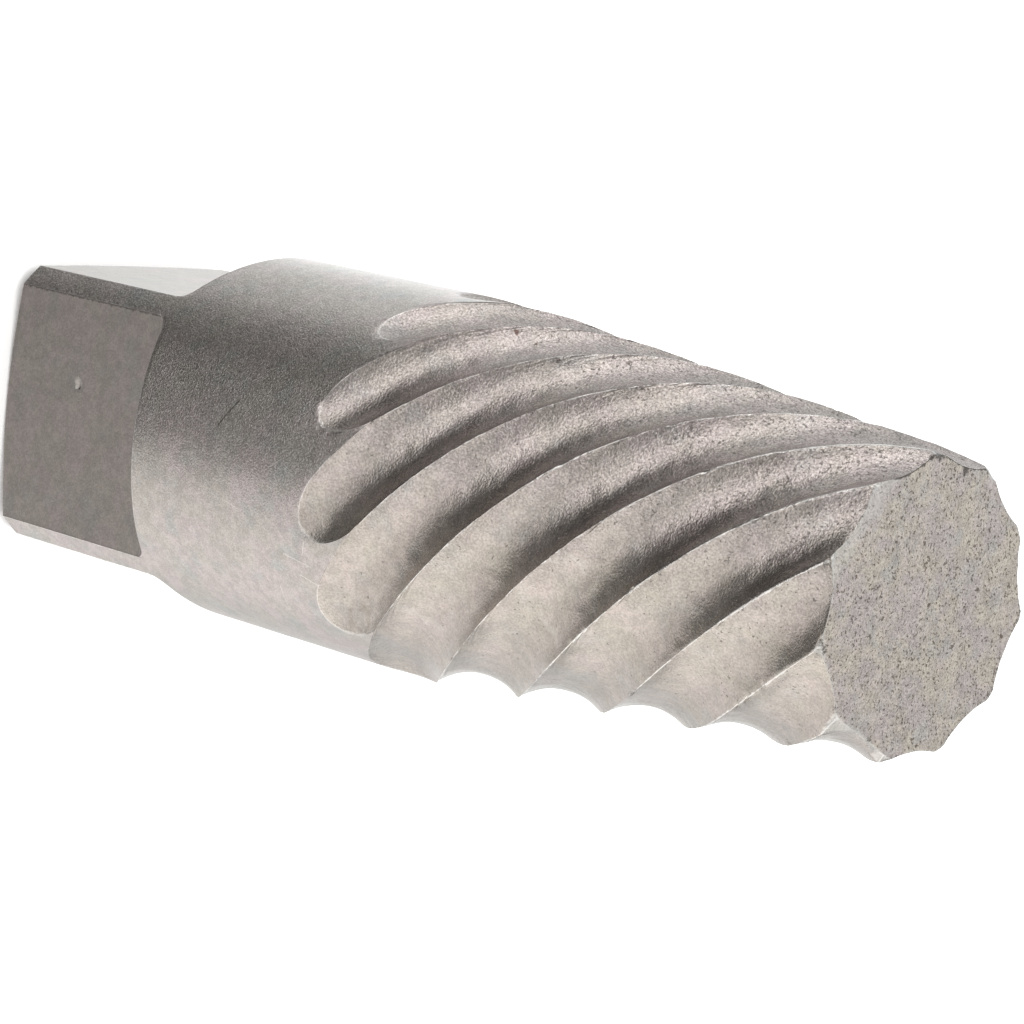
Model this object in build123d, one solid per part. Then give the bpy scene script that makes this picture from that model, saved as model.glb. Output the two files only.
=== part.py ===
from build123d import *
import os
from math import acos, cos, degrees, radians, tan

# A left-hand spiral screw extractor, turned and milled from one bar of tool steel.
# It stands on its square drive end: Z runs along the tool from the drive end up to the
# small end, and the origin is the centre of the drive end's face. All lengths are in mm.

# The bar
overall_length = 142.9
body_diameter = 47.6

# The bevel turned on the drive end, around a flat disc
end_face_diameter = 33.0
end_bevel_angle = 13.5
end_edge_radius = 0.5

# The drive square, milled on the bar as four flats with a sloping wall where each one ends
square_across_flats = 36.0
flat_count = 4
flat_length = 30.2
wall_lean_angle = 23.5
wall_foot_radius = 2.2

# The spiral flutes, milled with a wheel whose rim is round in section. Its path winds
# left-handed and closes in on the axis towards the small end
flute_count = 11
flute_lead = 151.5
flute_radius = 7.2
flute_start_height = 73.4
flute_taper_angle = 4.54
flute_floor_diameter = 32.6
flute_tip_angle = 4.3
cutting_wheel_diameter = 120.0

# How far a cutter runs past the metal, and how far the wheel's rim is lifted clear of it
overrun = 10.0
entry_clearance = 2.0


def make_blank():
    """The turned bar: a cylinder with a shallow bevel and a rounded rim at the drive end."""
    body_radius = body_diameter / 2
    face_radius = end_face_diameter / 2
    bevel_height = (body_radius - face_radius) * tan(radians(end_bevel_angle))
    outline = Polyline(
        (0, 0),
        (face_radius, 0),
        (body_radius, bevel_height),
        (body_radius, overall_length),
        (0, overall_length),
        close=True,
    )
    profile = make_face(outline)
    rim = profile.vertices().filter_by_position(Axis.X, body_radius, body_radius).sort_by(Axis.Y)[0]
    profile = fillet(rim, end_edge_radius)
    return revolve(Plane.XZ * profile, Axis.Z)


def make_flat_cutter():
    """What the mill takes off one side of the square: flat below, a filleted sloping wall above."""
    flat_distance = square_across_flats / 2
    outer_distance = body_diameter / 2 + overrun
    # the wall line meets the flat at its foot, and the foot fillet starts at the flat's end
    foot_setback = wall_foot_radius * tan(radians(90 - wall_lean_angle) / 2)
    wall_foot = flat_length + foot_setback
    wall_top = wall_foot + (outer_distance - flat_distance) * tan(radians(wall_lean_angle))
    outline = Polyline(
        (flat_distance, -overrun),
        (outer_distance, -overrun),
        (outer_distance, wall_top),
        (flat_distance, wall_foot),
        close=True,
    )
    profile = make_face(outline)
    foot = profile.vertices().filter_by_position(Axis.X, flat_distance, flat_distance).sort_by(Axis.Y)[-1]
    profile = fillet(foot, wall_foot_radius)
    return extrude(Plane.XZ * profile, body_diameter / 2 + overrun, both=True)


def make_flute_cutter():
    """What the cutting wheel takes off for one flute, as the track of its round rim: an arc of the
    wheel's own circle where it enters, and then a helix whose radius shrinks evenly."""
    floor_radius_at_start = (
        flute_floor_diameter / 2
        + (overall_length - flute_start_height) * tan(radians(flute_taper_angle))
    )
    helix = Helix(
        pitch=flute_lead / cos(radians(flute_taper_angle)),
        height=overall_length + overrun - flute_start_height,
        radius=floor_radius_at_start + flute_radius,
        cone_angle=-flute_taper_angle,
        lefthand=True,
    )
    start = helix @ 0
    heading = helix % 0
    section = Plane(origin=start, z_dir=heading) * Circle(flute_radius)
    track = sweep(section, path=helix, is_frenet=True)
    # the wheel stands square to the helix, and its circle touches the helix where the flute starts
    wheel_axis = Vector(start.X, start.Y, 0).cross(heading).normalized()
    outward = heading.cross(wheel_axis).normalized()
    circle_radius = cutting_wheel_diameter / 2 - flute_radius
    wheel_axle = Axis(start + outward * circle_radius, wheel_axis)
    # far enough round the wheel for the rim to stand clear of the bar
    lift = body_diameter / 2 - floor_radius_at_start + entry_clearance
    entry_arc = degrees(acos(1 - lift / circle_radius))
    entry = revolve(section, wheel_axle, entry_arc)
    # turned so that the track reaches the small end at its named angle
    angle_at_start = flute_tip_angle + 360 * (overall_length - flute_start_height) / flute_lead
    return Pos(0, 0, flute_start_height) * Rot(0, 0, angle_at_start) * (entry + track)


def make_extractor():
    """The bar with its four flats and its eleven flutes cut away."""
    body = make_blank()
    flat_cutter = make_flat_cutter()
    for index in range(flat_count):
        body -= Rot(0, 0, index * 360 / flat_count) * flat_cutter
    flute_cutter = make_flute_cutter()
    for index in range(flute_count):
        body -= Rot(0, 0, index * 360 / flute_count) * flute_cutter
    return body


os.makedirs("parts", exist_ok=True)
screw_extractor = make_extractor()
export_step(screw_extractor, "parts/screw_extractor.step")
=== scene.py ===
from math import acos, atan2, cos, degrees, pi, radians, sin, sqrt, tan

import bpy
import numpy as np
from mathutils import Euler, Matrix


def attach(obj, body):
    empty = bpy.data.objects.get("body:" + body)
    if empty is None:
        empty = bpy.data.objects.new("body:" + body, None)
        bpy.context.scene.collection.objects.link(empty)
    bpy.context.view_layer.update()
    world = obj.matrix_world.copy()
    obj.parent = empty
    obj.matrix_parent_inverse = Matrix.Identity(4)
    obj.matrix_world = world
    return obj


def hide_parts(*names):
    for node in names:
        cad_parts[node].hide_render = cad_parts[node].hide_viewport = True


# A spiral screw extractor: one bar of hardened tool steel standing on its square drive end.
# The frame is the CAD part's own, with Z up the tool and the front drive flat facing -Y.
# Shapes are worked out in millimetres and degrees, and written to the mesh in metres.

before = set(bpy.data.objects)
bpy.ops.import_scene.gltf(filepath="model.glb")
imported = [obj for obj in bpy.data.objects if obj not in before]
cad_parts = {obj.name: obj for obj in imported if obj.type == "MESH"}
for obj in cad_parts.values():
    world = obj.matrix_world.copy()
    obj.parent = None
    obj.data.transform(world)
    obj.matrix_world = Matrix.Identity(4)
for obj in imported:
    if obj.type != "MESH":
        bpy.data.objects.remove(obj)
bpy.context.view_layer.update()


# The steel bar, seen as one skin. The real tool is turned from bar, milled with four drive
# flats and eleven left-hand spiral flutes, sawn off at the small end, hardened and shot blasted.
# The skin has the CAD part's shape, with the blunted edges, nicks and chips of the real one.

METRES = 0.001
overall_length = 142.9
body_radius = 23.8

# the drive square: four flats with a sloping wall where each ends, over a shallow end bevel
flat_count = 4
flat_distance = 18.0
flat_length = 30.2
wall_lean = radians(23.5)
wall_foot_radius = 2.2
end_face_radius = 16.5
end_bevel_slope = tan(radians(13.5))
corner_angle = degrees(acos(flat_distance / body_radius))

# the flutes, cut by the round rim of a wheel whose track winds left-handed towards the axis
flute_count = 11
flute_pitch = 360 / flute_count
flute_lead = 151.5
rim_radius = 7.2
wheel_radius = 60.0
flute_start = 73.4
flute_taper = tan(radians(4.54))
tip_floor_radius = 16.3
tip_angle = 4.3

# the rim is tried at so many places along its track, and along the arc, in radians, by which
# it enters
track_steps, entry_steps = 65, 70
entry_arc = 0.38
# a radius past everything, where the rim takes nothing
UNCUT = 99.0


def flute_angle(height):
    """Angle in degrees of a flute's centre line at a height: it turns once in each lead."""
    return tip_angle + 360 * (overall_length - height) / flute_lead


def track_radius(height):
    """Distance of the rim's centre from the axis: the floor's radius, which falls evenly, plus the rim's."""
    return tip_floor_radius + (overall_length - height) * flute_taper + rim_radius


def track_wall(height, angle):
    """Radius of the wall cut along the track, at a height and an angle from the flute's centre line.

    The rim is a ball carried along the track. At each place of the ball, the ray from the axis
    meets it at track * cos(turn) - sqrt(rim^2 - travel^2 - (track * sin(turn))^2), and the
    wall is the least of these."""
    travel = np.linspace(-rim_radius, rim_radius, track_steps)
    place = height[..., None] + travel
    track = track_radius(place)
    turn = np.radians(angle[..., None] + 360 * travel / flute_lead)
    room = rim_radius**2 - travel**2 - (track * np.sin(turn)) ** 2
    cut = (room > 0) & (place >= flute_start) & (np.cos(turn) > 0)
    return np.where(cut, track * np.cos(turn) - np.sqrt(np.maximum(room, 0)), UNCUT).min(-1)


def entry_path():
    """Places of the ball while the wheel enters, on the wheel's own circle.

    The circle touches the track where the flute starts. A place on it is start +
    back * circle * sin(swing) + lift * circle * (1 - cos(swing)), where back points against the
    track's heading, and lift is square to that and out of the bar."""
    start_turn = radians(flute_angle(flute_start))
    outward = np.array([cos(start_turn), sin(start_turn), 0])
    around = np.array([-sin(start_turn), cos(start_turn), 0])
    upward = np.array([0, 0, 1.0])
    start_radius = track_radius(flute_start)
    back = around * start_radius * 2 * pi / flute_lead - upward + outward * flute_taper
    back /= np.linalg.norm(back)
    lift = outward - back * (outward @ back)
    lift /= np.linalg.norm(lift)
    circle = wheel_radius - rim_radius
    swing = np.linspace(0, entry_arc, entry_steps)[:, None]
    start = outward * start_radius + upward * flute_start
    return start + back * circle * np.sin(swing) + lift * circle * (1 - np.cos(swing))


def entry_wall(height, angle):
    """Radius of the wall cut while the wheel enters, at a height and an angle from the centre line.

    The ray from the axis meets the ball at along - sqrt(along^2 - reach^2 + rim^2), where along
    is the ball's distance measured along the ray, and reach its distance from the ray's start."""
    ball = entry_path()
    ray_turn = np.radians(angle + flute_angle(height))[..., None]
    along = np.cos(ray_turn) * ball[:, 0] + np.sin(ray_turn) * ball[:, 1]
    reach_squared = ball[:, 0] ** 2 + ball[:, 1] ** 2 + (height[..., None] - ball[:, 2]) ** 2
    room = along**2 - (reach_squared - rim_radius**2)
    cut = (room > 0) & (along > 0)
    return np.where(cut, along - np.sqrt(np.maximum(room, 0)), UNCUT).min(-1)


def flute_wall(height, angle):
    """Radius of a flute's wall at a height and an angle: the deeper of its two cuts."""
    return np.minimum(track_wall(height, angle), entry_wall(height, angle))


# a crest stands where the walls of two neighbouring flutes meet. Its angle drifts a little, so
# it is looked for at some heights, and a parabola is laid through what is found
merge_height = 75.5
crest_heights, crest_trials = 40, 251
least_crest_angle, most_crest_angle = 13.0, 18.0
trial_height, trial_angle = np.meshgrid(
    np.linspace(merge_height, overall_length, crest_heights),
    np.linspace(least_crest_angle, most_crest_angle, crest_trials),
    indexing="ij",
)
mismatch = flute_wall(trial_height, trial_angle) - flute_wall(trial_height, trial_angle - flute_pitch)
crest_found = trial_angle[0, np.abs(mismatch).argmin(1)]
crest_drift = np.polyfit(trial_height[:, 0], crest_found, 2)


def crest_angle(height):
    """Angle in degrees from a flute's centre line to the crest after it, a parabola in the height."""
    return np.polyval(crest_drift, np.maximum(height, merge_height))


# columns of the grid around the bar. Below, they follow each flat and the round strip after it,
# with a narrow column on both sides of every edge
flat_columns, strip_columns = 69, 6
flat_inside, strip_inside = 0.988, 0.45
flat_share = np.concatenate([[-1], np.linspace(-flat_inside, flat_inside, flat_columns), [1]])
quadrant_flat = np.degrees(np.arctan(flat_share * tan(radians(corner_angle))))
strip_edge = 360 / flat_count - corner_angle
quadrant_strip = np.linspace(corner_angle + strip_inside, strip_edge - strip_inside, strip_columns)
quadrant = np.concatenate([quadrant_flat, quadrant_strip])
flat_directions = np.array([-90, 0, 90, 180])[:, None]
low_angle = (flat_directions + quadrant).ravel()
low_offset = np.tile(np.clip(quadrant, -corner_angle, corner_angle), flat_count)
in_flat = np.tile(np.arange(quadrant.size) < quadrant_flat.size - 1, flat_count)
on_strip = np.tile(np.arange(quadrant.size) >= quadrant_flat.size, flat_count)
column_count = low_angle.size

# above, they follow the flutes, with a narrow one on both sides of each crest for its blunt edge
per_flute = column_count // flute_count
crest_bevel, crest_inside = 0.011, 0.04
flute_share = np.linspace(crest_inside, 1 - crest_inside, per_flute - 3)
flute_share = np.concatenate([[0, crest_bevel], flute_share, [1 - crest_bevel]])
high_share = np.tile(flute_share, flute_count)
high_offset = (np.repeat(np.arange(flute_count), per_flute) + high_share - 1) * flute_pitch


def upper_angle(offset, height):
    """Angle in degrees of an upper column at a height: its offset, turned with the crests."""
    return offset + crest_angle(height) + flute_angle(height)


# between these heights the lower columns turn into the upper ones, which are numbered from the
# one that lies nearest to the first lower column
turn_low, turn_high = 36.0, 58.0
first_gap = (upper_angle(high_offset, turn_high) - low_angle[0] + 180) % 360 - 180
order = np.arange(column_count) + int(np.abs(first_gap).argmin())
high_share = high_share[order % column_count]
high_offset = high_offset[order % column_count] + 360 * (order >= column_count)
high_offset -= 360 * round((upper_angle(high_offset[0], turn_high) - low_angle[0]) / 360)

# the side's radius on the flats and strips, and the wall's profile as a path by its own length:
# the end of the flat, the fillet at the wall's foot, and the slope
low_radius = np.minimum(body_radius, flat_distance / np.cos(np.radians(low_offset)))
low_radius = np.where(on_strip, body_radius, low_radius)
wall_start = 29.2
wall_reach = body_radius
foot_steps = 12
foot_turn = np.linspace(0, pi / 2 - wall_lean, foot_steps)
path_z = np.concatenate([[wall_start], flat_length + wall_foot_radius * np.sin(foot_turn)])
path_out = np.concatenate([[0], wall_foot_radius * (1 - np.cos(foot_turn))])
path_z = np.append(path_z, path_z[-1] + wall_reach * sin(wall_lean))
path_out = np.append(path_out, path_out[-1] + wall_reach * cos(wall_lean))
path_length = np.concatenate([[0], np.cumsum(np.hypot(np.diff(path_z), np.diff(path_out)))])

# where the path meets the round of the bar, in every lower column
round_out = np.maximum(body_radius * np.cos(np.radians(low_offset)) - flat_distance, 0)
round_out = np.where(on_strip, 0, round_out)
round_length = np.interp(round_out, path_out[1:], path_length[1:])
round_z = np.interp(round_length, path_length, path_z)

# where each upper column enters its flute: the nose outline, where the wall crosses the round.
# A wall that is still outside the round counts as at most so far above it
search_low, search_high, search_steps = 60.0, 80.0, 401
most_above = 1.0
search = np.linspace(search_low, search_high, search_steps)[:, None] + 0 * flute_share
nose_wall = flute_wall(search, crest_angle(search) - flute_pitch * (1 - flute_share))
inside = (nose_wall < body_radius).argmax(0)
column = np.arange(per_flute)
wall_before = np.minimum(nose_wall[inside - 1, column], body_radius + most_above)
fall = (wall_before - body_radius) / (wall_before - nose_wall[inside, column])
nose_found = search[inside - 1, 0] + fall * (search[1, 0] - search[0, 0])
nose_z = nose_found[order % per_flute]

# rows of the grid up the bar, in blocks, each an angle, a radius and a height for every column.
# Each row belongs to a part of the tool, and the longer blocks have so many rows
END_DISC, BEVEL, DRIVE, WALL, BODY, FLUTE, SMALL_END = range(7)
wall_rows, above_rows, turning_rows, approach_rows, flute_rows, end_rings = 16, 5, 25, 14, 184, 15
row_blocks = []
row_parts = []


def add_rows(part, angle, radius, height):
    """Adds a block of rows to the grid; a value given once stands for the whole block."""
    block = np.stack(np.broadcast_arrays(angle, radius, height))
    row_blocks.append(block)
    row_parts.extend([part] * block.shape[1])


def steps(count):
    """A share for each of that many rows, evenly from 0 to 1."""
    return np.linspace(0, 1, count)[:, None]


# the drive end's disc, its bevel, and one row that rounds the bevel's rim
inner_ring = 8.0
rim_blunt = 0.28
round_in, round_up = 0.25 * rim_blunt, 0.2 * rim_blunt
add_rows(END_DISC, low_angle, np.array([[inner_ring], [end_face_radius]]), 0.0)
bevel_share = np.array([[0.45], [0.9], [1.0]])
bevel_radius = end_face_radius + (low_radius - rim_blunt - end_face_radius) * bevel_share
add_rows(BEVEL, low_angle, bevel_radius, (bevel_radius - end_face_radius) * end_bevel_slope)
rim_z = (low_radius - end_face_radius) * end_bevel_slope
add_rows(DRIVE, low_angle, low_radius[None] - round_in, rim_z[None] + round_up)

# the flats and strips, with closer rows at the height of the punch mark
below_mark, at_mark, above_mark = (0, 0.44, 16), (0.46, 0.56, 9), (0.58, 1, 15)
drive_share = np.concatenate([np.linspace(*rows) for rows in (below_mark, at_mark, above_mark)])
drive_z = rim_z + rim_blunt + (wall_start - rim_z - rim_blunt) * drive_share[:, None]
add_rows(DRIVE, low_angle, low_radius, drive_z)

# the walls, whose last row lies a little inside the round, so that the edge stays crisp
wall_edge_drop = 0.05
wall_length = round_length * steps(wall_rows)[1:]
wall_z = np.interp(wall_length, path_length, path_z)
wall_distance = flat_distance + np.interp(wall_length, path_length, path_out)
wall_radius = np.minimum(body_radius, wall_distance / np.cos(np.radians(low_offset)))
wall_radius = np.where(on_strip, body_radius, wall_radius)
wall_radius[-1] -= np.where(on_strip, 0, wall_edge_drop)
add_rows(WALL, low_angle, wall_radius, wall_z)

# the round, with its first and last rows a step away from the walls and from the noses
edge_step = 0.2
above_z = round_z + edge_step + (turn_low - round_z - edge_step) * steps(above_rows)
add_rows(BODY, low_angle, body_radius, above_z)
turning_z = np.linspace(turn_low, turn_high, turning_rows)[1:, None]
turned = (turning_z - turn_low) / (turn_high - turn_low)
turned = turned * turned * (3 - 2 * turned)
turning_angle = low_angle + (upper_angle(high_offset, turn_high) - low_angle) * turned
add_rows(BODY, turning_angle, body_radius, turning_z)
approach_z = turn_high + (nose_z - edge_step - turn_high) * steps(approach_rows)[1:]
add_rows(BODY, upper_angle(high_offset, approach_z), body_radius, approach_z)


def ripple(place, size, seed, count=28):
    """A smooth random field from about -1 to 1, at points in mm, that changes over a length of size.

    It is the sum of count sine waves, sin(place . heading + phase), times sqrt(2 / count) / 2.
    The headings and phases are drawn from the seed, and a wave is 2 * size / share long, with
    the share drawn between slowest and fastest."""
    slowest, fastest = 0.5, 1.4
    draw = np.random.default_rng(seed)
    heading = draw.normal(size=(3, count))
    heading *= 2 * pi * draw.uniform(slowest, fastest, count) / (size * 2 * np.linalg.norm(heading, axis=0))
    waves = np.sin(place @ heading + draw.uniform(0, 2 * pi, count))
    return waves.sum(-1) * sqrt(2 / count) / 2


def nicks(place, size, seed, least, depth):
    """Depth in mm of scattered nicks: depth times what a ripple rises above least, and else 0."""
    return (ripple(place, size, seed) - least).clip(0, 1) * depth


def round_place(angle, radius, height):
    """Points in mm from an angle in degrees, a radius and a height."""
    turn = np.radians(angle)
    return np.stack([radius * np.cos(turn), radius * np.sin(turn), height + 0 * turn], -1)


# the flutes, with two close rows at each end
rise = np.concatenate([[0, 0.0025], np.linspace(0.0075, 0.993, flute_rows), [0.9975, 1]])
flute_z = nose_z + (overall_length - nose_z) * rise[:, None]
flute_column_angle = upper_angle(high_offset, flute_z)
flute_radius = flute_wall(flute_z, crest_angle(flute_z) - flute_pitch * (1 - high_share))
flute_radius = np.minimum(body_radius, flute_radius)

# crests are blunter towards the small end, and nicked here and there. A nick has its whole
# depth where the crest is worn most, and hardly shows where it isn't
fresh_blunt, worn_blunt = 0.06, 0.16
fresh_nick, worn_nick = 0.08, 0.92
crest_top = np.minimum(flute_wall(flute_z, crest_angle(flute_z)), body_radius)
crest_place = round_place(flute_column_angle, crest_top, flute_z)
wear = ((flute_z - merge_height) / (overall_length - merge_height)).clip(0, 1) ** 1.5
short_nicks = nicks(crest_place, size=0.9, seed=3, least=0.6, depth=0.7)
long_nicks = nicks(crest_place, size=3.0, seed=4, least=0.2, depth=0.1)
nick_depth = (short_nicks + long_nicks) * (fresh_nick + worn_nick * wear)
blunt_crest = fresh_blunt + worn_blunt * wear + nick_depth
blunted = np.minimum(flute_radius, crest_top - blunt_crest)
flute_radius = np.where(flute_z > merge_height, blunted, flute_radius)

# the sawn tip has lost the points of its crests, to an uneven bevel
tip_bevel_radius, tip_bevel_slope, tip_unevenness = 17.3, 1.1, 0.2
tip_place = round_place(flute_column_angle, tip_bevel_radius, overall_length)
tip_wear = ripple(tip_place, size=5.0, seed=5)
tip_limit = tip_bevel_radius + tip_unevenness * tip_wear + (overall_length - flute_z) * tip_bevel_slope
flute_radius = np.minimum(flute_radius, tip_limit)
add_rows(FLUTE, flute_column_angle, flute_radius, flute_z)
ring_share = np.concatenate([[0.985], np.linspace(0.95, 0.08, end_rings)])[:, None]
add_rows(SMALL_END, flute_column_angle[-1], flute_radius[-1] * ring_share, overall_length)

grid_angle, grid_radius, grid_z = np.concatenate(row_blocks, axis=1)
row_part = np.array(row_parts)
grid = round_place(grid_angle, grid_radius, grid_z)

# how far each point lies from a crest, a nose's edge, the small end's rim and a flat's edge.
# A distance along the rows or columns counts for less where the edge runs slanting to them
FAR = 9.0
crest_middle_radius = 20.0
least_slant = 0.12
on_flute, on_body, on_end = ((row_part == part)[:, None] for part in (FLUTE, BODY, SMALL_END))
helix_slant = cos(atan2(2 * pi * crest_middle_radius, flute_lead))
crest_turn = np.minimum(high_share, 1 - high_share) * radians(flute_pitch)
crest_gap = np.where(on_flute & (grid_z > merge_height), crest_turn * grid_radius * helix_slant, FAR)
nose_rise = np.gradient(nose_z) / (radians(360 / column_count) * body_radius)
nose_gap = np.abs(grid_z - nose_z) * np.maximum(np.cos(np.arctan(nose_rise)), least_slant)
nose_gap = np.where(on_flute | on_body, nose_gap, FAR)
rim_gap = np.where(on_flute, overall_length - grid_z, FAR)
rim_gap = np.where(on_end, flute_radius[-1] - grid_radius, rim_gap)
corner_turn = np.tile(quadrant, flat_count)[:, None] - np.array([-corner_angle, corner_angle, strip_edge])
corner_gap = np.abs(corner_turn).min(1) * radians(1) * body_radius
wall_gap = np.where(on_strip, corner_gap, np.minimum(corner_gap, round_z - grid_z))
flat_gap = np.where(np.isin(row_part, [DRIVE, WALL])[:, None], wall_gap, FAR)
flat_gap = np.where(on_body & ~on_strip, np.minimum(np.abs(grid_z - round_z), FAR), flat_gap)

# how uneven the blasted skin is on each part, in mm: slow waves, fine waves, and how far the
# skin lies inside the true shape, which it never leaves
unevenness = {
    END_DISC: (0.0, 0.0, 0.0),
    BEVEL: (0.02, 0.01, 0.03),
    DRIVE: (0.014, 0.003, 0.03),
    WALL: (0.016, 0.004, 0.03),
    BODY: (0.022, 0.004, 0.03),
    FLUTE: (0.085, 0.036, 0.1),
    SMALL_END: (0.05, 0.03, 0.06),
}
slow, fine, inset = np.array([unevenness[part] for part in row_part]).T[..., None]
across_step = np.roll(grid, -1, 1) - np.roll(grid, 1, 1)
up_step = np.empty_like(grid)
up_step[1:-1] = grid[2:] - grid[:-2]
up_step[0], up_step[-1] = grid[1] - grid[0], grid[-1] - grid[-2]
normal = np.cross(across_step, up_step)
shortest = 1e-9
normal /= np.linalg.norm(normal, axis=-1, keepdims=True) + shortest
uneven = slow * ripple(grid, size=5.0, seed=11) + fine * ripple(grid, size=1.3, seed=12) - inset
grid += normal * np.minimum(uneven, 0)[..., None]

# corners knocked off the small end, each by a rough plane: its direction and slope in degrees,
# its distance from the axis, and how pale the break is
chips = [
    (-30.0, 28.0, 15.85, 0.5),
    (-76.5, 39.0, 16.5, 0.5),
    (151.5, 45.0, 16.9, 0.6),
    (-128.0, 76.0, 14.4, 0.3),
    (-177.0, 30.0, 17.2, 0.5),
]
chip_reach = 8.0
fine_roughness, coarse_roughness = 0.12, 0.1
fresh_sharpness = 8.0
upward = np.array([0, 0, 1.0])
fresh = np.zeros(grid_z.shape)
for chip_angle, chip_slope, chip_distance, paleness in chips:
    side = round_place(np.array(chip_angle), 1.0, 0.0)
    facing = side * cos(radians(chip_slope)) + upward * sin(radians(chip_slope))
    corner = side * chip_distance + upward * overall_length
    beyond = (grid - corner) @ facing + fine_roughness * ripple(grid, size=1.4, seed=21)
    beyond += coarse_roughness * ripple(grid, size=4.0, seed=22)
    beyond = np.where(grid_z > overall_length - chip_reach, beyond, -FAR)
    grid -= facing * beyond.clip(0, None)[..., None]
    fresh = np.maximum(fresh, (beyond * fresh_sharpness).clip(0, 1) * paleness)

# along one stretch of the rim the real edge is undercut, and its shadow is painted on instead of bare metal
rim_shadow_middle, rim_shadow_spread, rim_shadow_fade = 180.0, 32.0, 4.0
from_rim_shadow = np.abs((grid_angle - rim_shadow_middle + 180) % 360 - 180)
rim_shadow = ((rim_shadow_spread - from_rim_shadow) / rim_shadow_fade).clip(0, 1)

# a small punch mark in the front flat: a dent shaped like a bell, with a raised lip round it.
# The lip's radius is given in radii of the mark
mark_place = np.array([-4.17, -flat_distance, 15.11])
mark_radius, mark_depth, dent_sharpness = 0.5, 0.5, 1.6
lip_radius, lip_height, lip_sharpness = 1.5, 0.035, 6.0
from_mark = np.linalg.norm(grid - mark_place, axis=-1) / mark_radius
dent = mark_depth * np.exp(-(from_mark**2) * dent_sharpness)
lip = lip_height * np.exp(-((from_mark - lip_radius) ** 2) * lip_sharpness)
grid[..., 1] += dent - lip

# the grid becomes quads, and fans of triangles round the two poles close its ends
poles = np.array([[0, 0, 0], [0, 0, overall_length]], float)
points = np.concatenate([grid.reshape(-1, 3), poles])
index = np.arange(grid_z.size).reshape(grid_z.shape)
beside = np.roll(index, -1, 1)
quads = np.stack([index[:-1], beside[:-1], beside[1:], index[1:]], -1).reshape(-1, 4)
foot_pole, tip_pole = index.size, index.size + 1
foot_fan = np.stack([0 * index[0] + foot_pole, beside[0], index[0]], -1)
tip_fan = np.stack([0 * index[-1] + tip_pole, index[-1], beside[-1]], -1)
corners = np.concatenate([quads.ravel(), foot_fan.ravel(), tip_fan.ravel()])
sizes = np.concatenate([np.full(len(quads), 4), np.full(2 * column_count, 3)])
loop_start = np.concatenate([[0], np.cumsum(sizes)[:-1]])

sharp_edge = radians(28)
skin = bpy.data.meshes.new("extractor_skin")
skin.vertices.add(len(points))
skin.vertices.foreach_set("co", (points * METRES).astype(np.float32).ravel())
skin.loops.add(len(corners))
skin.loops.foreach_set("vertex_index", corners.astype(np.int32))
skin.polygons.add(len(sizes))
skin.polygons.foreach_set("loop_start", loop_start.astype(np.int32))
skin.update(calc_edges=True)
skin.validate()
skin.shade_smooth()
skin.set_sharp_from_angle(angle=sharp_edge)

# what the materials read from the skin: the gaps and the masks, each with its value at the poles
marks = {
    "crest_gap": (crest_gap, FAR),
    "nose_gap": (nose_gap, FAR),
    "rim_gap": (rim_gap, FAR),
    "flat_gap": (flat_gap, FAR),
    "fresh": (fresh, 0.0),
    "rim_shadow": (rim_shadow, 0.0),
}
for mark, (values, at_pole) in marks.items():
    layer = skin.attributes.new(mark, "FLOAT", "POINT")
    layer.data.foreach_set("value", np.append(values, [at_pole, at_pole]).astype(np.float32))

# which finish each face has: the blasted round, the milled flats, the flutes or the sawn small end
BLASTED, MILLED, FLUTED, SAWN = range(4)
quad_part = np.where(np.isin(row_part[1:], [SMALL_END, BEVEL, DRIVE]), row_part[1:], row_part[:-1])
quad_part = np.where((row_part[:-1] == WALL) & (row_part[1:] == BODY), BODY, quad_part)[:, None]
finish = np.where(np.isin(quad_part, [DRIVE, WALL]) & in_flat, MILLED, BLASTED)
finish = np.where(quad_part == FLUTE, FLUTED, finish)
finish = np.where(quad_part == SMALL_END, SAWN, finish)
fan_finish = np.repeat([BLASTED, SAWN], column_count)
skin.polygons.foreach_set("material_index", np.append(finish, fan_finish).astype(np.int32))

extractor_skin = bpy.data.objects.new("extractor_skin", skin)
bpy.context.scene.collection.objects.link(extractor_skin)
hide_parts("screw_extractor")
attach(extractor_skin, "root")


def put(tree, kind, values, **settings):
    """Adds one node: values are its inputs, each a plain value or an output, and settings its options."""
    node = tree.nodes.new(kind)
    for option, choice in settings.items():
        setattr(node, option, choice)
    for socket, value in values.items():
        if isinstance(value, bpy.types.NodeSocket):
            tree.links.new(value, node.inputs[socket])
        else:
            node.inputs[socket].default_value = value
    return node


def calc(tree, operation, first, second=0.0, third=0.0):
    """A number worked out from up to three others."""
    values = {0: first, 1: second, 2: third}
    return put(tree, "ShaderNodeMath", values, operation=operation).outputs[0]


def vector(tree, operation, first, second):
    """A vector worked out from two others."""
    return put(tree, "ShaderNodeVectorMath", {0: first, 1: second}, operation=operation).outputs["Vector"]


def measure(tree, operation, first, second):
    """A number worked out from two vectors, such as their distance."""
    return put(tree, "ShaderNodeVectorMath", {0: first, 1: second}, operation=operation).outputs["Value"]


def scaled(tree, first, factor):
    """A vector times a number."""
    values = {0: first, "Scale": factor}
    return put(tree, "ShaderNodeVectorMath", values, operation="SCALE").outputs["Vector"]


def ramp(tree, value, low, high, start=0.0, end=1.0):
    """A smooth step: start where value is low, and end where it is high."""
    values = {0: value, 1: low, 2: high, 3: start, 4: end}
    return put(tree, "ShaderNodeMapRange", values, interpolation_type="SMOOTHSTEP").outputs[0]


def mix(tree, share, first, second, blend="MIX"):
    """A colour between two colours."""
    values = {0: share, 6: first, 7: second}
    return put(tree, "ShaderNodeMix", values, data_type="RGBA", blend_type=blend).outputs[2]


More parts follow.
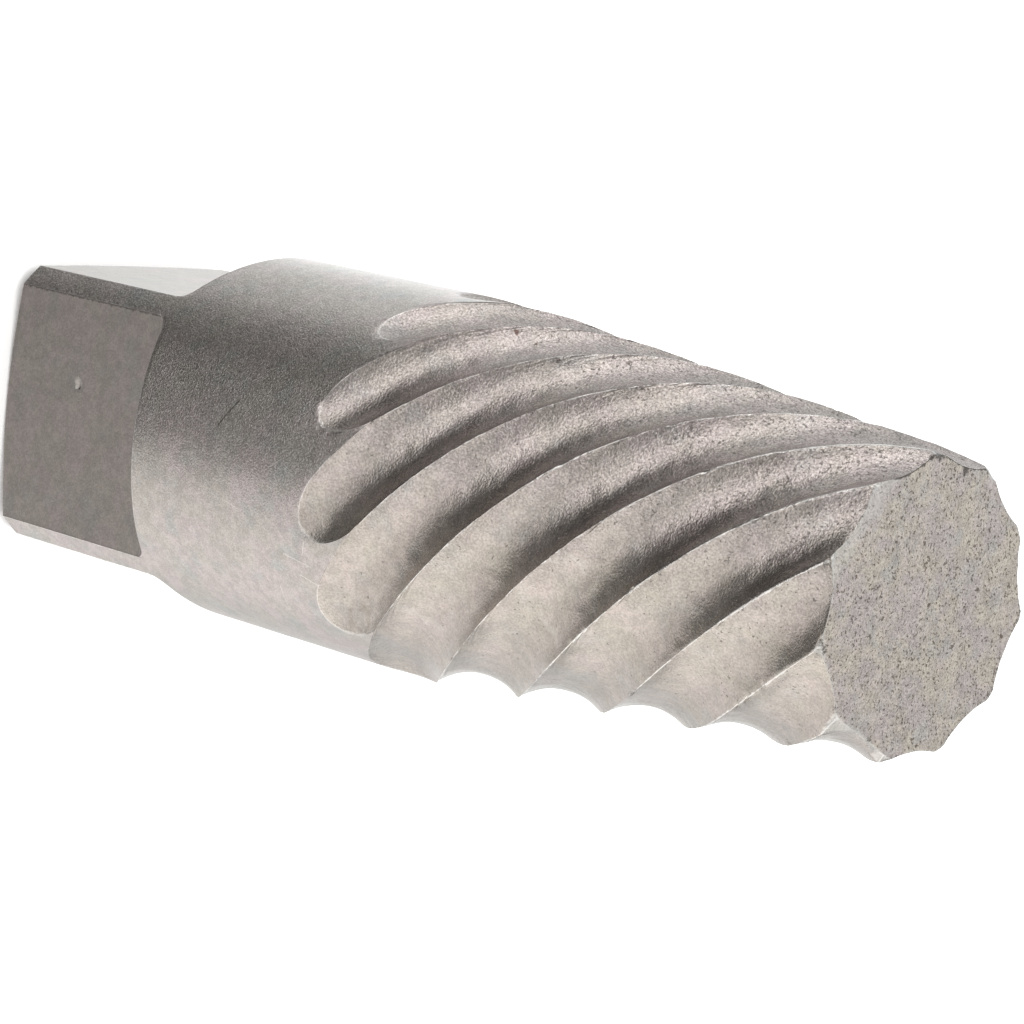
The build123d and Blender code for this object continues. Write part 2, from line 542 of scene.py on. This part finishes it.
def noise(tree, place, size, detail=2.0, roughness=0.5):
    """A cloud pattern with features of about that size, in mm: its Fac, from 0 to 1, and its Color."""
    scale = calc(tree, "DIVIDE", 1.0, size) if isinstance(size, bpy.types.NodeSocket) else 1 / size
    values = {"Vector": place, "Scale": scale, "Detail": detail, "Roughness": roughness}
    return put(tree, "ShaderNodeTexNoise", values).outputs


def effect(name, inputs, outputs):
    """Starts a shader node group; returns it, its inputs and its output node.

    An input is named with its first value: a number, a colour, or None for a place."""
    kinds = {float: "NodeSocketFloat", tuple: "NodeSocketColor", type(None): "NodeSocketVector"}
    group = bpy.data.node_groups.new(name, "ShaderNodeTree")
    for socket, value in inputs.items():
        made = group.interface.new_socket(socket, in_out="INPUT", socket_type=kinds[type(value)])
        if value is not None:
            made.default_value = value
    for socket in outputs:
        kind = "NodeSocketColor" if socket == "Color" else "NodeSocketFloat"
        group.interface.new_socket(socket, in_out="OUTPUT", socket_type=kind)
    given = group.nodes.new("NodeGroupInput").outputs
    return group, given, group.nodes.new("NodeGroupOutput")


def use(tree, group, **values):
    """Places an effect in a material with its own values; returns its outputs."""
    return put(tree, "ShaderNodeGroup", values, node_tree=group).outputs


# shot grit: the fine dents of blasting, as a height that stays within -0.55 and 0.55, and as
# light and dark specks, where the materials paint glints and shade
grit, given, out = effect("shot_grit", {"Place": None, "Size": 0.25}, ["Height", "Specks"])
grain = noise(grit, given["Place"], given["Size"], detail=2.0, roughness=0.55)["Fac"]
lumps = noise(grit, given["Place"], calc(grit, "MULTIPLY", given["Size"], 3.0), detail=1.0)["Fac"]
height = calc(grit, "MULTIPLY_ADD", grain, 0.8, calc(grit, "MULTIPLY", lumps, 0.3))
grit.links.new(calc(grit, "SUBTRACT", height, 0.55), out.inputs["Height"])
elsewhere = vector(grit, "ADD", given["Place"], (31.0, 17.0, 53.0))
speck = noise(grit, elsewhere, given["Size"], detail=1.0)["Fac"]
grit.links.new(ramp(grit, speck, 0.34, 0.66), out.inputs["Specks"])

# grit glints and shade: a colour darkened by painted shade in the grit's dents and lightened by
# painted glints on its peaks, as far as Dark and Light say
speck_inputs = {"Color": (0.5, 0.48, 0.45, 1), "Specks": 0.5, "Dark": 0.3, "Light": 0.3}
speckling, given, out = effect("grit_glints_and_shade", speck_inputs, ["Color"])
dent_shade, peak_glint = (0.2, 0.185, 0.175, 1), (0.9, 0.87, 0.85, 1)
in_dents = ramp(speckling, given["Specks"], 0.0, 0.45, start=given["Dark"], end=0.0)
on_peaks = ramp(speckling, given["Specks"], 0.7, 1.0, start=0.0, end=given["Light"])
tint = mix(speckling, in_dents, given["Color"], dent_shade)
speckling.links.new(mix(speckling, on_peaks, tint, peak_glint), out.inputs["Color"])

# pits: small ragged holes in drifts. They are the low places of a noise whose own places are
# stirred, and Cover says how high a place still counts
pitting, given, out = effect("ragged_pits", {"Place": None, "Size": 0.5, "Cover": 0.5}, ["Mask"])
stir = noise(pitting, given["Place"], calc(pitting, "MULTIPLY", given["Size"], 0.8), detail=1.0)["Color"]
stir = vector(pitting, "SUBTRACT", stir, (0.5, 0.5, 0.5))
stir = scaled(pitting, stir, calc(pitting, "MULTIPLY", given["Size"], 1.2))
stirred = vector(pitting, "ADD", given["Place"], stir)
holes = noise(pitting, stirred, given["Size"], detail=1.5)["Fac"]
drifts = noise(pitting, given["Place"], calc(pitting, "MULTIPLY", given["Size"], 9.0))["Fac"]
edge_of_hole = calc(pitting, "MULTIPLY_ADD", given["Cover"], 0.13, 0.22)
edge_of_hole = calc(pitting, "ADD", edge_of_hole, calc(pitting, "MULTIPLY_ADD", drifts, 0.16, -0.08))
middle_of_hole = calc(pitting, "SUBTRACT", edge_of_hole, 0.07)
in_hole = ramp(pitting, holes, middle_of_hole, edge_of_hole, start=1.0, end=0.0)
pitting.links.new(in_hole, out.inputs["Mask"])

# blotches: the clouded tints of hardened steel, warm, rosy and cool, and darker mottling
cloud_inputs = {
    "Place": None,
    "Size": 6.0,
    "Mottle": 0.2,
    "Warm": (0.5, 0.48, 0.44, 1),
    "Rosy": (0.53, 0.48, 0.46, 1),
    "Cool": (0.47, 0.48, 0.48, 1),
}
clouding, given, out = effect("hardening_clouds", cloud_inputs, ["Color"])
mottle_colour = (0.25, 0.23, 0.22, 1)
elsewhere = vector(clouding, "ADD", given["Place"], (70.0, 20.0, 40.0))
small_size = calc(clouding, "MULTIPLY", given["Size"], 0.3)
first_cloud = noise(clouding, given["Place"], given["Size"], detail=4.0, roughness=0.6)["Fac"]
second_cloud = noise(clouding, elsewhere, given["Size"], detail=5.0, roughness=0.65)["Fac"]
small_cloud = noise(clouding, elsewhere, small_size, detail=4.0, roughness=0.7)["Fac"]
tint = mix(clouding, ramp(clouding, first_cloud, 0.4, 0.6), given["Warm"], given["Rosy"])
tint = mix(clouding, ramp(clouding, second_cloud, 0.5, 0.68), tint, given["Cool"])
darker = ramp(clouding, small_cloud, 0.62, 0.4, start=0.0, end=given["Mottle"])
clouding.links.new(mix(clouding, darker, tint, mottle_colour), out.inputs["Color"])

# edge lines: a broken line along an edge, whose distance in mm is Gap; it lays bare metal with a
# painted highlight, or a painted shadow
edging, given, out = effect("edge_lines", {"Place": None, "Gap": 9.0, "Width": 0.2}, ["Mask"])
breaks = noise(edging, given["Place"], size=0.9, detail=3.0, roughness=0.6)["Fac"]
wide = calc(edging, "MULTIPLY", given["Width"], ramp(edging, breaks, 0.3, 0.72, start=0.35, end=2.1))
solid = calc(edging, "MULTIPLY", wide, 0.4)
edging.links.new(ramp(edging, given["Gap"], solid, wide, start=1.0, end=0.0), out.inputs["Mask"])

# a scratch: a thin straight line from Start to End, both points in mm
scratch_inputs = {"Place": None, "Start": None, "End": None, "Width": 0.1}
scratching, given, out = effect("scratch", scratch_inputs, ["Mask"])
span = vector(scratching, "SUBTRACT", given["End"], given["Start"])
out_there = vector(scratching, "SUBTRACT", given["Place"], given["Start"])
reached = measure(scratching, "DOT_PRODUCT", out_there, span)
whole = measure(scratching, "DOT_PRODUCT", span, span)
division = {0: reached, 1: whole}
part_way = put(scratching, "ShaderNodeMath", division, operation="DIVIDE", use_clamp=True).outputs[0]
off_line = measure(scratching, "DISTANCE", out_there, scaled(scratching, span, part_way))
on_line = ramp(scratching, off_line, 0.0, given["Width"], start=1.0, end=0.0)
scratching.links.new(on_line, out.inputs["Mask"])

# a stain: a faint broken ring about Centre, a point in mm
stain_inputs = {"Place": None, "Centre": None, "Radius": 2.0, "Width": 0.4}
staining, given, out = effect("ring_stain", stain_inputs, ["Mask"])
stray = noise(staining, given["Place"], size=1.6)["Fac"]
away = measure(staining, "DISTANCE", given["Place"], given["Centre"])
away = calc(staining, "ADD", away, calc(staining, "MULTIPLY_ADD", stray, 3.0, -1.5))
off_ring = calc(staining, "ABSOLUTE", calc(staining, "SUBTRACT", away, given["Radius"]))
solid = calc(staining, "MULTIPLY", given["Width"], 0.3)
ring = ramp(staining, off_ring, solid, given["Width"], start=1.0, end=0.0)
elsewhere = vector(staining, "ADD", given["Place"], (11.0, 5.0, 7.0))
gaps = noise(staining, elsewhere, size=2.2, detail=1.0)["Fac"]
broken_ring = calc(staining, "MULTIPLY", ring, ramp(staining, gaps, 0.36, 0.56))
staining.links.new(broken_ring, out.inputs["Mask"])

# a spot, such as rust or the painted shade of a bite out of an edge: ragged, and about Centre, a
# point in mm
spot_inputs = {"Place": None, "Centre": None, "Radius": 0.5}
spotting, given, out = effect("ragged_spot", spot_inputs, ["Mask"])
stray = noise(spotting, given["Place"], size=0.45, roughness=0.6)["Fac"]
away = measure(spotting, "DISTANCE", given["Place"], given["Centre"])
away = calc(spotting, "ADD", away, calc(spotting, "MULTIPLY_ADD", stray, 1.2, -0.6))
solid = calc(spotting, "MULTIPLY", given["Radius"], 0.4)
in_spot = ramp(spotting, away, solid, given["Radius"], start=0.8, end=0.0)
spotting.links.new(in_spot, out.inputs["Mask"])


def start_steel(name, tints, roughness, cloud_size, mottle, grit_size):
    """Starts a steel material, with its clouds and its grit.

    Returns its tree, its shader, the place on the tool in mm, its colour so far, and the grit's
    height and specks."""
    material = bpy.data.materials.new(name)
    material.use_nodes = True
    skin.materials.append(material)
    tree = material.node_tree
    shader = tree.nodes["Principled BSDF"]
    shader.inputs["Metallic"].default_value = 1.0
    shader.inputs["Roughness"].default_value = roughness
    place = scaled(tree, put(tree, "ShaderNodeTexCoord", {}).outputs["Object"], 1 / METRES)
    colour = use(tree, clouding, Place=place, Size=cloud_size, Mottle=mottle, **tints)[0]
    grit_height, specks = use(tree, grit, Place=place, Size=grit_size)[:2]
    return tree, shader, place, colour, grit_height, specks


def end_steel(tree, shader, colour, height):
    """Feeds the finished colour, and a height in mm as a bump, to the shader."""
    tree.links.new(colour, shader.inputs["Base Color"])
    bump = put(tree, "ShaderNodeBump", {"Height": height, "Distance": METRES, "Strength": 1.0})
    tree.links.new(bump.outputs[0], shader.inputs["Normal"])


def skin_mark(tree, mark):
    """A gap in mm or a mask, from the skin's own attributes."""
    return put(tree, "ShaderNodeAttribute", {}, attribute_name=mark).outputs["Fac"]


def painted(tree, colour, mask, strength, over):
    """Lays another colour over a colour where a mask is 1, as far as strength says."""
    return mix(tree, calc(tree, "MULTIPLY", mask, strength), colour, over)


def edged(tree, colour, place, edge, width, strength, over):
    """Lays a broken line of another colour along an edge of the skin."""
    line = use(tree, edging, Place=place, Gap=skin_mark(tree, edge), Width=width)[0]
    return painted(tree, colour, line, strength, over)


def spotted(tree, colour, place, spots, over):
    """Lays ragged spots of another colour over a colour; each spot is a centre and a radius in mm."""
    for centre, radius in spots:
        spot = use(tree, spotting, Place=place, Centre=centre, Radius=radius)[0]
        colour = mix(tree, spot, colour, over)
    return colour


# bare metal, which along the edges also paints a highlight
bare_metal_glint = (0.92, 0.9, 0.88, 1)
# pale: fresh breaks, and bare rim with a painted highlight
pale_break_and_glint = (0.7, 0.7, 0.685, 1)
# near black: painted shadow along edges and in the rim's bites, and dirt with painted shade in pits
shade_and_soot = (0.07, 0.06, 0.055, 1)

# the blasted round of the bar: clouded and a little scratched, with painted glints and shade in its
# grit that are strongest across the shaded band on its left
round_tints = {
    "Warm": (0.56, 0.521, 0.486, 1),
    "Rosy": (0.61, 0.537, 0.529, 1),
    "Cool": (0.505, 0.499, 0.486, 1),
}
tree, shader, place, colour, grit_height, specks = start_steel(
    "blasted_round", round_tints, roughness=0.3, cloud_size=5.0, mottle=0.27, grit_size=0.22
)
grainiest = -11.0
sideways = put(tree, "ShaderNodeSeparateXYZ", {0: place}).outputs["X"]
from_grainiest = calc(tree, "ABSOLUTE", calc(tree, "ADD", sideways, -grainiest))
grainy = ramp(tree, from_grainiest, low=5.0, high=17.0, start=1.0, end=0.35)
# painted glints and shade of the grit, strongest about grainiest
grainy_glints = use(tree, speckling, Color=colour, Specks=specks, Dark=0.42, Light=0.48)[0]
colour = mix(tree, grainy, colour, grainy_glints)
# bare metal with a painted highlight along the noses' and the flats' edges
colour = edged(tree, colour, place, "nose_gap", width=0.12, strength=0.3, over=bare_metal_glint)
colour = edged(tree, colour, place, "flat_gap", width=0.14, strength=0.5, over=bare_metal_glint)

# scratches and flecks on the round: angle and height of both ends, width, strength and colour
dark_line, bright_line = (0.1, 0.095, 0.09, 1), (1.0, 0.98, 0.95, 1)
scratches = [
    ((-101.7, 49.5), (-110.4, 51.9), 0.22, 0.75, dark_line),
    ((-62.7, 64.7), (-60.5, 67.6), 0.13, 0.45, bright_line),
    ((-56.3, 59.8), (-45.8, 59.1), 0.12, 0.4, bright_line),
    ((-68.5, 62.4), (-66.4, 67.2), 0.12, 0.4, bright_line),
    ((-80.2, 52.2), (-78.4, 55.2), 0.12, 0.3, bright_line),
    ((-74.1, 66.6), (-69.9, 66.0), 0.12, 0.45, bright_line),
    ((-69.6, 67.1), (-67.4, 67.7), 0.12, 0.35, bright_line),
    ((-52.8, 46.9), (-50.4, 50.2), 0.12, 0.35, bright_line),
    ((-83.0, 66.1), (-79.2, 66.1), 0.12, 0.35, bright_line),
    ((-127.7, 48.7), (-126.1, 49.1), 0.16, 0.45, bright_line),
    ((-110.9, 41.9), (-109.3, 41.9), 0.16, 0.45, bright_line),
]
for (from_angle, from_height), (to_angle, to_height), width, strength, scratch_colour in scratches:
    ends = round_place(np.array([from_angle, to_angle]), body_radius, np.array([from_height, to_height]))
    line = use(tree, scratching, Place=place, Start=ends[0], End=ends[1], Width=width)[0]
    colour = painted(tree, colour, line, strength, scratch_colour)
round_relief = 0.063
end_steel(tree, shader, colour, calc(tree, "MULTIPLY", grit_height, round_relief))

# the milled flats: darker and smoother, with a painted shadow line along their edges, heaviest on
# the left
flat_tints = {
    "Warm": (0.43, 0.39, 0.358, 1),
    "Rosy": (0.45, 0.392, 0.38, 1),
    "Cool": (0.385, 0.368, 0.348, 1),
}
tree, shader, place, colour, grit_height, specks = start_steel(
    "milled_flat", flat_tints, roughness=0.34, cloud_size=5.0, mottle=0.3, grit_size=0.22
)
# painted glints and shade in the grit
colour = use(tree, speckling, Color=colour, Specks=specks, Dark=0.2, Light=0.08)[0]
sideways = put(tree, "ShaderNodeSeparateXYZ", {0: place}).outputs["X"]
edge_shadow = ramp(tree, sideways, low=-8.0, high=14.0, start=0.6, end=0.15)
colour = edged(tree, colour, place, "flat_gap", width=0.2, strength=edge_shadow, over=shade_and_soot)
flat_relief = 0.02
end_steel(tree, shader, colour, calc(tree, "MULTIPLY", grit_height, flat_relief))


def skin_place(angle, height):
    """The point of the skin, in mm, at an angle in degrees and a height: on the flutes or the round."""
    from_flute = (angle - flute_angle(height) + flute_pitch / 2) % flute_pitch - flute_pitch / 2
    radius = min(body_radius, float(flute_wall(np.array([height]), np.array([from_flute]))[0]))
    return round_place(np.array(angle), radius, height)


def end_place(angle, reach):
    """The point of the small end's face, in mm, at an angle in degrees and a distance from the axis."""
    return round_place(np.array(angle), reach, overall_length)


# painted shade of little bites out of the small end's rim: angle, distance from the axis and radius
rim_bite_shade = [
    (-177.5, 17.2, 0.95),
    (165.1, 15.8, 0.75),
    (-145.4, 17.0, 0.7),
    (-142.7, 16.8, 0.55),
    (-129.7, 16.4, 0.45),
    (-80.0, 17.2, 0.7),
    (-77.0, 16.8, 0.55),
    (-52.2, 17.1, 0.6),
    (-25.0, 15.9, 0.35),
]
rim_bite_shade = [(end_place(angle, reach), radius) for angle, reach, radius in rim_bite_shade]


def rimmed(tree, colour, place, width, bare_strength):
    """Colours the small end's rim: pale bare metal with a painted highlight, or a painted shadow where
    undercut.
    """
    rim_shadow_strength = 0.85
    rim_shadowed = skin_mark(tree, "rim_shadow")
    strength = ramp(tree, rim_shadowed, 0.0, 1.0, bare_strength, rim_shadow_strength)
    return edged(tree, colour, place, "rim_gap", width, strength, mix(tree, rim_shadowed, pale_break_and_glint, shade_and_soot))


# the flutes: coarse on the left, with painted glints and shade in the grit strongest there, and
# smoother and greyer to the right
flute_tints = {
    "Warm": (0.505, 0.459, 0.414, 1),
    "Rosy": (0.545, 0.48, 0.452, 1),
    "Cool": (0.475, 0.446, 0.42, 1),
}
tree, shader, place, colour, grit_height, specks = start_steel(
    "cut_flute", flute_tints, roughness=0.27, cloud_size=6.0, mottle=0.28, grit_size=0.27
)
along = put(tree, "ShaderNodeSeparateXYZ", {0: place}).outputs
coarse = ramp(tree, along["X"], low=-20.0, high=10.0, start=1.0, end=0.55)
rosy_side, warm_side, grey_side = (1.006, 1.0, 1.03, 1), (1.0, 1.0, 0.98, 1), (1.006, 1.0, 1.0, 1)
side_tint = mix(tree, ramp(tree, along["X"], low=-8.0, high=4.0), rosy_side, warm_side)
side_tint = mix(tree, ramp(tree, along["X"], low=8.0, high=15.0), side_tint, grey_side)
colour = mix(tree, 1.0, colour, side_tint, "MULTIPLY")
# painted glints and shade in the grit, strongest where the flutes are coarse
coarse_glints = use(tree, speckling, Color=colour, Specks=specks, Dark=0.36, Light=0.2)[0]
colour = mix(tree, coarse, colour, coarse_glints)

# stains in the flutes: angle and height, radius, width, strength and colour
swirl_colour, arc_colour = (0.3, 0.26, 0.22, 1), (0.7, 0.68, 0.64, 1)
stains = [
    (-49.0, 71.8, 1.7, 0.6, 0.45, swirl_colour),
    (-46.0, 73.0, 3.3, 0.5, 0.3, swirl_colour),
    (-73.0, 106.0, 5.2, 0.8, 0.25, arc_colour),
    (-60.0, 84.0, 3.6, 0.8, 0.2, arc_colour),
]
for angle, height, radius, width, strength, stain_colour in stains:
    ring = use(tree, staining, Place=place, Centre=skin_place(angle, height), Radius=radius, Width=width)[0]
    colour = painted(tree, colour, ring, strength, stain_colour)

# rust spots, and single deep pits darkened by dirt and painted shade: angle, height and radius
rust_colour, pit_dirt_and_shade = (0.1, 0.045, 0.03, 1), (0.13, 0.11, 0.1, 1)
rust_spots = [(-162.2, 82.5, 0.5), (-163.4, 85.2, 0.33)]
rust_spots = [(skin_place(angle, height), radius) for angle, height, radius in rust_spots]
colour = spotted(tree, colour, place, rust_spots, rust_colour)
deep_pits = [(-153.8, 92.5, 0.38), (-167.4, 99.0, 0.42), (-142.7, 108.1, 0.3)]
deep_pits = [(skin_place(angle, height), radius) for angle, height, radius in deep_pits]
colour = spotted(tree, colour, place, deep_pits, pit_dirt_and_shade)

# pits that thicken towards the small end, darkened by dirt and painted shade; bare crests with a
# painted highlight; and the broken and bitten rim, with painted shade in its bites
cover = ramp(tree, along["Z"], low=60.0, high=overall_length, start=0.65, end=1.35)
cover = calc(tree, "MULTIPLY", cover, coarse)
pits = use(tree, pitting, Place=place, Size=0.37, Cover=cover)[0]
colour = painted(tree, colour, pits, strength=0.58, over=shade_and_soot)
large_pits = use(tree, pitting, Place=place, Size=0.75, Cover=calc(tree, "MULTIPLY", coarse, 0.45))[0]
colour = painted(tree, colour, large_pits, strength=0.7, over=shade_and_soot)
colour = edged(tree, colour, place, "crest_gap", width=0.12, strength=0.75, over=bare_metal_glint)
colour = edged(tree, colour, place, "nose_gap", width=0.12, strength=0.35, over=bare_metal_glint)
colour = rimmed(tree, colour, place, width=0.2, bare_strength=0.35)
colour = painted(tree, colour, skin_mark(tree, "fresh"), strength=0.9, over=pale_break_and_glint)
# painted shade in the rim's bites
colour = spotted(tree, colour, place, rim_bite_shade, shade_and_soot)
flute_relief, flute_pit_depth = 0.1, 0.05
height = calc(tree, "MULTIPLY", grit_height, calc(tree, "MULTIPLY", coarse, flute_relief))
end_steel(tree, shader, colour, calc(tree, "MULTIPLY_ADD", pits, -flute_pit_depth, height))

# the sawn small end: mottled and thickly pitted, with pale fresh faces where corners broke off.
# Its grit gets painted glints and shade, and its pits dirt and painted shade
end_tints = {
    "Warm": (0.635, 0.566, 0.489, 1),
    "Rosy": (0.6, 0.524, 0.503, 1),
    "Cool": (0.56, 0.523, 0.494, 1),
}
tree, shader, place, colour, grit_height, specks = start_steel(
    "sawn_end", end_tints, roughness=0.42, cloud_size=4.0, mottle=0.34, grit_size=0.22
)
# painted glints and shade in the grit
colour = use(tree, speckling, Color=colour, Specks=specks, Dark=0.34, Light=0.2)[0]
fresh_mask = skin_mark(tree, "fresh")
small_pits = use(tree, pitting, Place=place, Size=0.34, Cover=1.35)[0]
large_pits = use(tree, pitting, Place=place, Size=0.62, Cover=0.85)[0]
pits = calc(tree, "MAXIMUM", small_pits, large_pits)
pits = calc(tree, "MULTIPLY", pits, calc(tree, "SUBTRACT", 1.0, fresh_mask))
end_pit_dirt_and_shade = (0.1, 0.075, 0.055, 1)
colour = painted(tree, colour, pits, strength=0.75, over=end_pit_dirt_and_shade)

# single deeper pits in the end, darkened by dirt and painted shade: angle, distance from the axis
# and radius
end_pits = [(131.6, 12.8, 0.36), (101.9, 9.0, 0.33), (126.9, 0.6, 0.45), (74.8, 14.9, 0.33)]
end_pits = [(end_place(angle, reach), radius) for angle, reach, radius in end_pits]
colour = spotted(tree, colour, place, end_pits, end_pit_dirt_and_shade)
colour = painted(tree, colour, fresh_mask, strength=0.9, over=pale_break_and_glint)
colour = rimmed(tree, colour, place, width=0.28, bare_strength=0.25)
# painted shade in the rim's bites
colour = spotted(tree, colour, place, rim_bite_shade, shade_and_soot)
end_relief, end_pit_depth = 0.07, 0.06
height = calc(tree, "MULTIPLY", grit_height, end_relief)
end_steel(tree, shader, colour, calc(tree, "MULTIPLY_ADD", pits, -end_pit_depth, height))


# The studio: a pale floor that the tool stands on, and soft light from nearly everywhere,
# with a dark patch low on the left that draws the tool's shaded side. A wide lamp overhead
# whitens the floor, and neither of them shows in the steel.

floor_size = 6.0
floor_white = (0.93, 0.93, 0.93, 1)
bpy.ops.mesh.primitive_plane_add(size=floor_size)
floor = bpy.context.object
floor.name = "studio_floor"
floor.visible_glossy = False
paper = bpy.data.materials.new("floor_paper")
paper.use_nodes = True
paper_shader = paper.node_tree.nodes["Principled BSDF"]
paper_shader.inputs["Base Color"].default_value = floor_white
paper_shader.inputs["Roughness"].default_value = 1.0
paper_shader.inputs["Specular IOR Level"].default_value = 0.0
floor.data.materials.append(paper)

lamp_size, lamp_height, lamp_power = 4.0, 2.2, 130.0
lamp_data = bpy.data.lights.new("overhead_lamp", "AREA")
lamp_data.shape = "SQUARE"
lamp_data.size = lamp_size
lamp_data.energy = lamp_power
lamp = bpy.data.objects.new("overhead_lamp", lamp_data)
lamp.location = (0, 0, lamp_height)
lamp.visible_glossy = False
bpy.context.scene.collection.objects.link(lamp)

# patches of the surrounding light: azimuth, elevation, inner and outer angle, and how many times
# brighter than the rest the patch is
light_patches = [
    (-154.0, -50.0, 1.0, 32.0, 0.09),
    (-120.0, -59.0, 17.0, 29.0, 0.25),
    (117.0, -69.0, 11.0, 21.0, 0.09),
    (-138.0, -11.0, 36.0, 46.0, 1.6),
    (-118.0, 35.0, 31.0, 52.0, 0.4),
    (-12.0, 15.0, 8.0, 73.0, 1.5),
    (-80.0, -53.0, 14.0, 24.0, 0.845),
    (48.0, -44.0, 8.0, 18.0, 0.74),
    (45.0, 8.0, 12.0, 42.0, 0.45),
    (-25.0, 25.0, 10.0, 35.0, 0.6),
    (90.0, -48.0, 10.0, 36.0, 1.68),
    (0.0, -90.0, 10.0, 25.0, 0.76),
    (-118.0, -64.0, 4.0, 20.0, 1.45),
    (-170.0, 1.0, 3.0, 16.0, 1.5),
    (-120.0, -8.0, 3.0, 14.0, 1.31),
    (-118.0, 14.0, 4.0, 18.0, 0.62),
    (-158.0, -36.0, 3.0, 22.0, 0.62),
    (165.0, -33.0, 4.0, 20.0, 0.9),
    (-60.0, -82.0, 3.0, 13.0, 0.72),
    (-100.0, -45.0, 3.0, 28.0, 0.53),
    (155.0, -12.0, 4.0, 22.0, 0.77),
    (129.0, -55.0, 4.0, 18.0, 0.84),
    (-12.0, -55.0, 4.0, 18.0, 1.1),
    (-62.0, -60.0, 4.0, 20.0, 1.15),
]


def towards(azimuth, elevation):
    """The unit vector at an azimuth and an elevation, both in degrees."""
    turn, rise = radians(azimuth), radians(elevation)
    return (cos(rise) * cos(turn), cos(rise) * sin(turn), sin(rise))


world = bpy.data.worlds.new("studio_light")
bpy.context.scene.world = world
world.use_nodes = True
sky = world.node_tree
gaze = put(sky, "ShaderNodeTexCoord", {}).outputs["Generated"]
level = 1.0
for azimuth, elevation, inner, outer, brightness in light_patches:
    nearness = measure(sky, "DOT_PRODUCT", gaze, towards(azimuth, elevation))
    patch = ramp(sky, nearness, cos(radians(outer)), cos(radians(inner)), 1.0, brightness)
    level = calc(sky, "MULTIPLY", level, patch)

# the light is cool from behind and a little warm from everywhere else
warm_azimuth = -70.0
cool_light, warm_light = (0.965, 1.0, 1.0, 1), (1.01, 1.0, 0.975, 1)
warm_nearness = measure(sky, "DOT_PRODUCT", gaze, towards(warm_azimuth, 0.0))
warmth = mix(sky, ramp(sky, warm_nearness, low=-0.9, high=0.1), cool_light, warm_light)
tone = put(sky, "ShaderNodeCombineColor", {0: level, 1: level, 2: level}).outputs[0]
tone = mix(sky, 1.0, tone, warmth, "MULTIPLY")
sky.links.new(tone, sky.nodes["Background"].inputs["Color"])
sky.nodes["Background"].inputs["Strength"].default_value = 1.0


# The camera stands where the photograph's stood, and is rolled so that the upright tool lies
# across the view. Its lens was worked out with its place, from the tool's straight edges.

sensor_width, focal_length = 36.0, 131.07
camera_place = (-0.06662, -0.31961, 0.39170)
camera_tilt, camera_swing, camera_turn = radians(-14.866), radians(-44.258), radians(98.828)
camera_data = bpy.data.cameras.new("photo_camera")
camera_data.sensor_width = sensor_width
camera_data.lens = focal_length
camera = bpy.data.objects.new("photo_camera", camera_data)
camera.location = camera_place
camera.rotation_euler = Euler((camera_tilt, camera_swing, camera_turn), "XYZ")
bpy.context.scene.collection.objects.link(camera)
bpy.context.scene.camera = camera
bpy.context.scene.view_settings.view_transform = "Standard"
